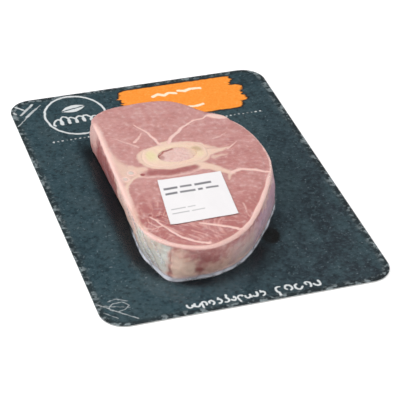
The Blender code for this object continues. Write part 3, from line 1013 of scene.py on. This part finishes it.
clear_film = new_material("clear_skin_film")
ripples = grain(clear_film, 1.8, detail=3)
bump = {"Height": ripples, "Strength": 0.35, "Distance": 0.35 * MM}
relief = add_node(clear_film, "ShaderNodeBump", bump).outputs[0]
shine = {"Color": linear("#ffffff"), "Roughness": 0.12, "Normal": relief}
mirror = add_node(clear_film, "ShaderNodeBsdfGlossy", shine).outputs[0]
whitish = add_node(clear_film, "ShaderNodeBsdfDiffuse", {"Color": linear("#eceef8")}).outputs[0]
through = add_node(clear_film, "ShaderNodeBsdfTransparent", {"Color": linear("#fdfdfd")}).outputs[0]
bead = add_node(clear_film, "ShaderNodeAttribute", {}, attribute_name="bead").outputs["Fac"]
highlight_share = add_node(clear_film, "ShaderNodeMath", {0: bead, 1: BEAD_HIGHLIGHT}, operation="MULTIPLY").outputs[0]
body = add_node(clear_film, "ShaderNodeMixShader", {0: highlight_share, 1: through, 2: whitish}).outputs[0]
turned = add_node(clear_film, "ShaderNodeLayerWeight", {"Blend": 0.5, "Normal": relief}).outputs["Facing"]
steep = add_node(clear_film, "ShaderNodeMath", {0: turned, 1: FACING_POWER}, operation="POWER").outputs[0]
scaled = {0: steep, 1: FILM_GLOSS, 2: LEAST_GLOSS}
gloss = add_node(clear_film, "ShaderNodeMath", scaled, operation="MULTIPLY_ADD").outputs[0]
film_surface = add_node(clear_film, "ShaderNodeMixShader", {0: gloss, 1: body, 2: mirror}).outputs[0]
add_node(clear_film, "ShaderNodeOutputMaterial", {"Surface": film_surface})
film_piece = add_piece("skin_film", film_bm, clear_film, "film", "film")
skin = film_piece.modifiers.new("skin", "SOLIDIFY")
skin.thickness = FILM_THICK
skin.offset = 1.0

# %% [markdown]
# ## Paper label
#
# The label is matt white paper with rows of grey bars in place of its print. It is stuck on the film, so
# it follows the film's surface, and its corners lift a hair. The bars are painted as a mask.

# %% Label
LABEL_CORNERS_MM = np.array([(-33.0, -66.4), (8.9, -67.5), (12.7, -22.1), (-27.3, -20.2)])
LABEL_SIZE_MM = (41.0, 46.0)
LABEL_LIFT_MM = 0.14
LABEL_THICK_MM = 0.13
LABEL_BARS = (
    # left, right, middle height and thickness in mm from the lower left corner, darkness
    (2.2, 11.0, 36.4, 2.2, 0.85),
    (12.6, 20.0, 36.4, 2.0, 0.8),
    (21.8, 32.5, 36.4, 2.2, 0.85),
    (2.4, 10.0, 31.0, 2.2, 0.85),
    (11.6, 21.4, 31.0, 2.0, 0.8),
    (23.0, 26.0, 31.0, 2.1, 0.85),
    (28.0, 36.0, 31.0, 1.9, 0.8),
    (3.0, 12.0, 15.2, 1.0, 0.5),
    (13.2, 18.0, 15.2, 0.9, 0.45),
    (3.0, 13.5, 10.8, 1.0, 0.5),
    (15.0, 23.0, 10.8, 0.9, 0.45),
)

label_tree = tree_of(film_piece)
label_bm = bmesh.new()
bmesh.ops.create_grid(label_bm, x_segments=120, y_segments=130, size=0.5)
share = np.array([vert.co for vert in label_bm.verts])[:, :2] + 0.5
low_left, low_right, high_right, high_left = LABEL_CORNERS_MM
along, upward = share[:, :1], share[:, 1:]
flat_places = (low_left * (1 - along) + low_right * along) * (1 - upward)
flat_places += (high_left * (1 - along) + high_right * along) * upward
here = share * LABEL_SIZE_MM
edge = np.abs(share - 0.5) * 2
curl = 0.35 * (edge[:, 0] * edge[:, 1]) ** 6
for vert, place, lift in zip(label_bm.verts, flat_places, curl):
    found = label_tree.ray_cast(Vector((*place * MM, 0.1)), Vector((0, 0, -1)))[0]
    vert.co = (*place * MM, found.z + (LABEL_LIFT_MM + lift) * MM)
relax(label_bm, label_bm.verts, 6, flatten_only=True)
bars = np.zeros(len(here))
for left, right, middle, thick, dark in LABEL_BARS:
    low, high = middle - thick / 2, middle + thick / 2
    bars = over(bars, dark * within(here[:, 0], left, right, 0.3) * within(here[:, 1], low, high, 0.3))
paint(label_bm, ink=bars)

label_paper = new_material("matt_label_paper")
colour = layered(label_paper, linear("#e2dfe0"), ("ink", 0, 1, 1, "#4c4d54"))
surface = add_node(label_paper, "ShaderNodeBsdfPrincipled", {"Base Color": colour, "Roughness": 0.6})
add_node(label_paper, "ShaderNodeOutputMaterial", {"Surface": surface.outputs[0]})
label_piece = add_piece("price_label", label_bm, label_paper, "label", "label")
sheet = label_piece.modifiers.new("paper", "SOLIDIFY")
sheet.thickness = LABEL_THICK_MM * MM
sheet.offset = 1.0

# %% [markdown]
# ## The card's shape
#
# The card is a flat sheet with round corners. Its grid is coarse, and is divided finely only where there
# is print, because the print is painted on its points. The cut edge shows the card's pale core.

# %% Card shape
CARD_CELL_MM = 1.6
PRINT_CUTS = 3
PRINT_ZONES_MM = (
    # low x, low y, high x, high y
    (-19, 75, 74, 122),
    (-71, 72, -25, 125),
    (-41, -123, 47, -111),
    (-90, -125, -64, -98),
    (-90, 92, -60, 125),
    (-75, 68, 76, 73),
)

CARD_INSET_MM = 0.02
card_half = np.array(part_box("board")[1])[:2] / MM - CARD_INSET_MM
card_bm = bmesh.new()
card_cells = np.round(2 * card_half / CARD_CELL_MM).astype(int)
bmesh.ops.create_grid(card_bm, x_segments=int(card_cells[0]), y_segments=int(card_cells[1]), size=1)
for vert in card_bm.verts:
    place = np.array(vert.co[:2]) * card_half
    into = np.maximum(np.abs(place) - (card_half - CARD_CORNER_MM), 0) / CARD_CORNER_MM
    if (into > 0).all():
        rounded = into * np.sqrt(1 - into[::-1] ** 2 / 2)
        place = np.sign(place) * (card_half - CARD_CORNER_MM + rounded * CARD_CORNER_MM)
    vert.co = (*(place * MM), BOARD_Z)


def in_print(edge):
    """Whether an edge of the card's grid lies in a zone with print."""
    middle = (edge.verts[0].co + edge.verts[1].co) / 2 / MM
    return any(a < middle.x < c and b < middle.y < d for a, b, c, d in PRINT_ZONES_MM)


print_edges = [edge for edge in card_bm.edges if in_print(edge)]
bmesh.ops.subdivide_edges(card_bm, edges=print_edges, cuts=PRINT_CUTS, use_grid_fill=True)
top_count = len(card_bm.verts)
for drop in (0.06 * MM, BOARD_Z):
    rim = [edge for edge in card_bm.edges if edge.is_boundary]
    made = bmesh.ops.extrude_edge_only(card_bm, edges=rim)["geom"]
    for vert in (item for item in made if isinstance(item, bmesh.types.BMVert)):
        vert.co.z = BOARD_Z - drop
bmesh.ops.edgeloop_fill(card_bm, edges=[edge for edge in card_bm.edges if edge.is_boundary])
bmesh.ops.recalc_face_normals(card_bm, faces=card_bm.faces)
card_bm.verts.index_update()
print("card", len(card_bm.faces), "faces")

# %% [markdown]
# ## The card's print
#
# The print is a picture of slate with chalk on it: an orange brush mark with chalk shapes on it, a ring
# with a leaf, a dotted line, loose chalk lines in the corners, and a line of arcs in place of words. Near
# the card's edge the picture shows chipped slate. On top of the print, a dark painted shadow is laid round
# the foot of the slice, with a black wedge of it at the slice's front right.

# %% Paint the print
RING_CENTRE, RING_RADII, RING_LINE_MM = (-48, 99), np.array([20.3, 23.5]), 1.4
BRUSH_ROWS = (
    # middle height, thickness, left end, right end
    (115.5, 8.0, -13, 66),
    (109.5, 8.0, -15, 64),
    (103.5, 8.0, -14, 70),
    (97.5, 8.0, -13, 68),
    (91.0, 8.0, -12, 69),
    (84.0, 9.5, -10, 64),
)
BRUSH_OUTLINE_MM = 1.5
CHALK_LINES = (
    # route, width, strength
    (((-88, 95), (-78, 106), (-68, 117)), 0.7, 0.7),
    (((-83, 108), (-73, 119)), 1.7, 0.7),
    (((-80, 105), (-72, 113)), 1.7, 0.7),
    (((-84, 118.5), (-80, 114)), 1.2, 0.9),
    (((-87, 112), (-86, 110)), 1.4, 0.6),
    (((-88, -101), (-78, -111), (-68, -120)), 0.7, 0.6),
    (((-86, -110), (-79, -117)), 0.6, 0.5),
    (((-81, -100.5), (-76, -99.5), (-70, -103)), 0.7, 0.5),
    (((-84, -104), (-70, -109)), 0.6, 0.5),
    (((62, -98), (68, -105)), 0.7, 0.45),
    (((63, -103), (69, -100)), 0.6, 0.35),
    (((67, -9), (69, -11)), 0.7, 0.4),
    (((8, 107), (12, 109), (16, 107), (20, 109), (24, 107.5)), 2.6, 1.0),
    (((27, 110), (31, 108.5), (35, 110.5), (42, 109.5)), 2.6, 1.0),
    (((28, 89), (33, 88), (38, 89.5)), 2.4, 0.9),
    (
        ((-81, -109), (-82, -106), (-79, -103), (-73, -103), (-70, -107), (-73, -110), (-78, -111), (-81, -109)),
        0.6,
        0.6,
    ),
)
LEAF_TIPS = ((-57, 105), (-38, 109))
SCRIBBLE = ((-64, 92), (-34, 93), 5.6)
MOCK_WORDS = (
    # left, right, height of the line, size of a sign
    (-39, 11, -117.5, 4.2),
    (15, 44, -117.0, 5.6),
)


def mock_sign(centre, radius, rng):
    """A route for one written sign that is no letter: an arc, turned at random, with a tail."""
    start, sweep = rng.uniform(0, 2 * math.pi), rng.uniform(2.6, 4.6)
    angles = np.linspace(start, start + sweep, 7)
    arc = np.array(centre) + radius * np.c_[0.8 * np.cos(angles), np.sin(angles)]
    tail = arc[-1] + radius * np.array([rng.uniform(-0.2, 0.5), rng.choice([-1.2, -0.6, 0.6, 1.4])])
    return np.r_[arc, [tail]]


def scribble(start, end, tall, rng):
    """A route like joined handwriting that spells nothing."""
    turns = int(round(abs(end[0] - start[0]) / (0.85 * tall)))
    share = np.linspace(0, 1, turns * 9)
    phase = share * turns * 2 * math.pi
    reach = np.interp(share * turns, np.arange(turns + 1), rng.choice([0.7, 0.9, 1.0, 1.7], turns + 1))
    across = start[0] + (end[0] - start[0]) * share - 0.3 * tall * np.sin(phase)
    up = start[1] + (end[1] - start[1]) * share + tall / 2 * (reach - np.cos(phase) * reach - 1)
    return np.c_[across, up]


rng = np.random.default_rng(4)
points = places_mm(card_bm)
in_zones = np.zeros(len(points), bool)
for a, b, c, d in PRINT_ZONES_MM:
    in_zones |= (points[:, 0] > a) & (points[:, 0] < c) & (points[:, 1] > b) & (points[:, 1] < d)
chalky = wavy(points, 3.0, 0.4, seed=2)[:, :2]
sheared = points * (0.2, 1, 1)
brushy = chalky + (wavy(sheared, 1.3, 2.6, seed=4) - sheared)[:, :2] * (1, 0.12)

orange = np.zeros(len(points))
outline = np.zeros(len(points))
for middle, thick, left, right in BRUSH_ROWS:
    ends = ((left + thick / 2, middle), (right - thick / 2, middle))
    orange = over(orange, strip(brushy, ends, (thick, thick), soft=0.4))
    wide = thick + 2 * BRUSH_OUTLINE_MM
    outline = over(outline, strip(brushy, ends, (wide, wide), soft=0.5))

chalk = np.zeros(len(points))
away = (np.linalg.norm((chalky - RING_CENTRE) / RING_RADII, axis=1) - 1) * RING_RADII.mean()
chalk = over(chalk, 1 - smooth_step(np.abs(away), RING_LINE_MM / 2 - 0.3, RING_LINE_MM / 2 + 0.4))
leaf_from, _ = from_route(chalky, LEAF_TIPS)
leaf_share = ((chalky - LEAF_TIPS[0]) @ np.subtract(*LEAF_TIPS[::-1])) / np.sum(np.subtract(*LEAF_TIPS) ** 2)
leaf_half = 4.2 * np.sin(math.pi * np.clip(leaf_share, 0, 1))
leaf = smooth_step(leaf_half - leaf_from, -0.2, 0.5) * smooth_step(np.abs(leaf_from), 0.3, 0.8)
chalk = over(chalk, leaf)
for route, width, strength in CHALK_LINES:
    chalk = over(chalk, strength * strip(chalky, route, (width, width), soft=0.4))
for x in np.linspace(-70, 72, 49):
    chalk = over(chalk, rng.uniform(0.3, 1.0) * spot(chalky, (x, 70.6), (0.7, 0.7), soft=0.5))
for y in np.linspace(104, 117, 5):
    chalk = over(chalk, rng.uniform(0.4, 0.9) * spot(chalky, (-22, y), (0.7, 0.7), soft=0.5))
chalk = over(chalk, strip(chalky, scribble(*SCRIBBLE, rng), (1.3, 1.3), soft=0.35))
for left, right, middle, tall in MOCK_WORDS:
    for x in np.arange(left + tall / 2, right, 1.05 * tall):
        route = mock_sign((x, middle + rng.uniform(-0.3, 0.3)), 0.46 * tall, rng)
        chalk = over(chalk, strip(chalky, route, (1.25, 1.25), soft=0.3))
chalk *= in_zones

from_edge = np.min(card_half - np.abs(points[:, :2]), axis=1)
corner_in = np.maximum(np.abs(points[:, :2]) - (card_half - CARD_CORNER_MM), 0)
from_arc = CARD_CORNER_MM - np.linalg.norm(corner_in, axis=1)
from_edge = np.where((corner_in > 0).all(axis=1), from_arc, from_edge)
edge_chips = 1 - smooth_step(from_edge, 1.5, 5.5)
flat_card = points[:, :2]
from_foot, round_foot = nearest_on_rim(flat_card)
# The shade mask is a painted shadow on the print: dark round the left and front of the slice's foot, and a soft
# band falling forward from its front right, where the meat's shadow lies on the card.
left_foot = between(round_foot, (-46, 60), (-22, -92), soft=20)
front_foot = between(round_foot, (-30, -90), (38, -44), soft=20)
shade = 1.08 * left_foot * (1 - smooth_step(-from_foot, 2.5, 12))
shade += 0.8 * front_foot * (1 - smooth_step(-from_foot, 2, 13))
# A dark wedge at the slice's front right foot is a painted shadow, where the meat's shadow lies deepest on the
# card.
soot = spot(chalky, (31.4, -65.5), (5.4, 8.2), -18, soft=0.2)
shade = np.clip(0.9 * shade + 0.5 * strip(flat_card, ((24, -82), (6, -104)), (16, 6), soft=5), 0, 0.97)
paint(
    card_bm,
    shade=shade,
    soot=soot,
    orange=orange,
    outline=outline,
    chalk=chalk,
    chips=edge_chips,
    # Darker towards the lower right: in part the print's own tone, in part a painted sheen of the light from the
    # upper left.
    right_side=smooth_step(points[:, 0] - 0.4 * points[:, 1], 10, 110),
    cut=(np.arange(len(points)) >= top_count) * 1.0,
)
chalked = float(np.mean(chalk[in_zones] > 0.4))
print("the print covers", round(100 * chalked), "% of its zones with chalk")

# %% Slate and chalk finish
def thinned(material, mask_name, pattern, low, high, weakest=0.0):
    """A painted mask, weakened where a pattern is below a range."""
    spread = {"Value": pattern, "From Min": low, "From Max": high, "To Min": weakest, "To Max": 1.0}
    share = add_node(material, "ShaderNodeMapRange", spread).outputs["Result"]
    mask = add_node(material, "ShaderNodeAttribute", {}, attribute_name=mask_name).outputs["Fac"]
    return add_node(material, "ShaderNodeMath", {0: mask, 1: share}, operation="MULTIPLY").outputs[0]


printed_slate = new_material("printed_slate_card")
crystals = grain(printed_slate, 1.4, detail=6, roughness=0.7)
sheets = grain(printed_slate, 8, detail=5, roughness=0.6, seed=0.02, stretch=(1, 0.6, 1))
dust = grain(printed_slate, 0.7, detail=3, seed=0.07)
chips = grain(printed_slate, 1.8, detail=4, roughness=0.6, seed=0.04)
brushed = layered(printed_slate, linear("#f58e2e"), (dust, 0.35, 0.7, 1, "#fb9e40"))
chalk_colour = layered(printed_slate, linear("#d6dadb"), ("orange", 0, 1, 1, "#fbe6c8"))
colour = layered(
    printed_slate,
    linear("#2c444c"),
    # The card darkens towards its lower right: in part the print's own tone, in part a painted sheen of the light
    # from the upper left.
    ("right_side", 0, 1, 1, "#262f36"),
    (sheets, 0.42, 0.62, 1, "#34474d"),
    (sheets, 0.45, 0.3, 0.6, "#1c2b31"),
    (crystals, 0.52, 0.62, 0.65, "#141f25"),
    (crystals, 0.48, 0.38, 0.5, "#46585f"),
    (dust, 0.62, 0.74, 0.5, "#6d7e86"),
    ("chips", 0, 1, 0.7, "#181d1e"),
    (thinned(printed_slate, "chips", chips, 0.5, 0.6), 0, 1, 0.7, "#8f9b9e"),
    ("outline", 0, 1, 0.85, "#1c1713"),
    ("orange", 0, 1, 1, brushed),
    (ragged(printed_slate, "chalk", dust, 0.8), 0.12, 0.88, 1, chalk_colour),
    # Painted shadow round the slice's foot.
    ("shade", 0, 1, 1, "#050c12"),
    # Painted shadow: the black wedge at the slice's front right foot, speckled by the chips pattern.
    (thinned(printed_slate, "soot", chips, 0.4, 0.5, 0.8), 0, 1, 1, "#040506"),
    ("cut", 0, 1, 1, "#b9bbbb"),
)
matt = {"Base Color": colour, "Roughness": 0.6, "Specular IOR Level": 0.15}
surface = add_node(printed_slate, "ShaderNodeBsdfPrincipled", matt)
add_node(printed_slate, "ShaderNodeOutputMaterial", {"Surface": surface.outputs[0]})
card_piece = add_piece("slate_card", card_bm, printed_slate, "board", "board", smooth=False)
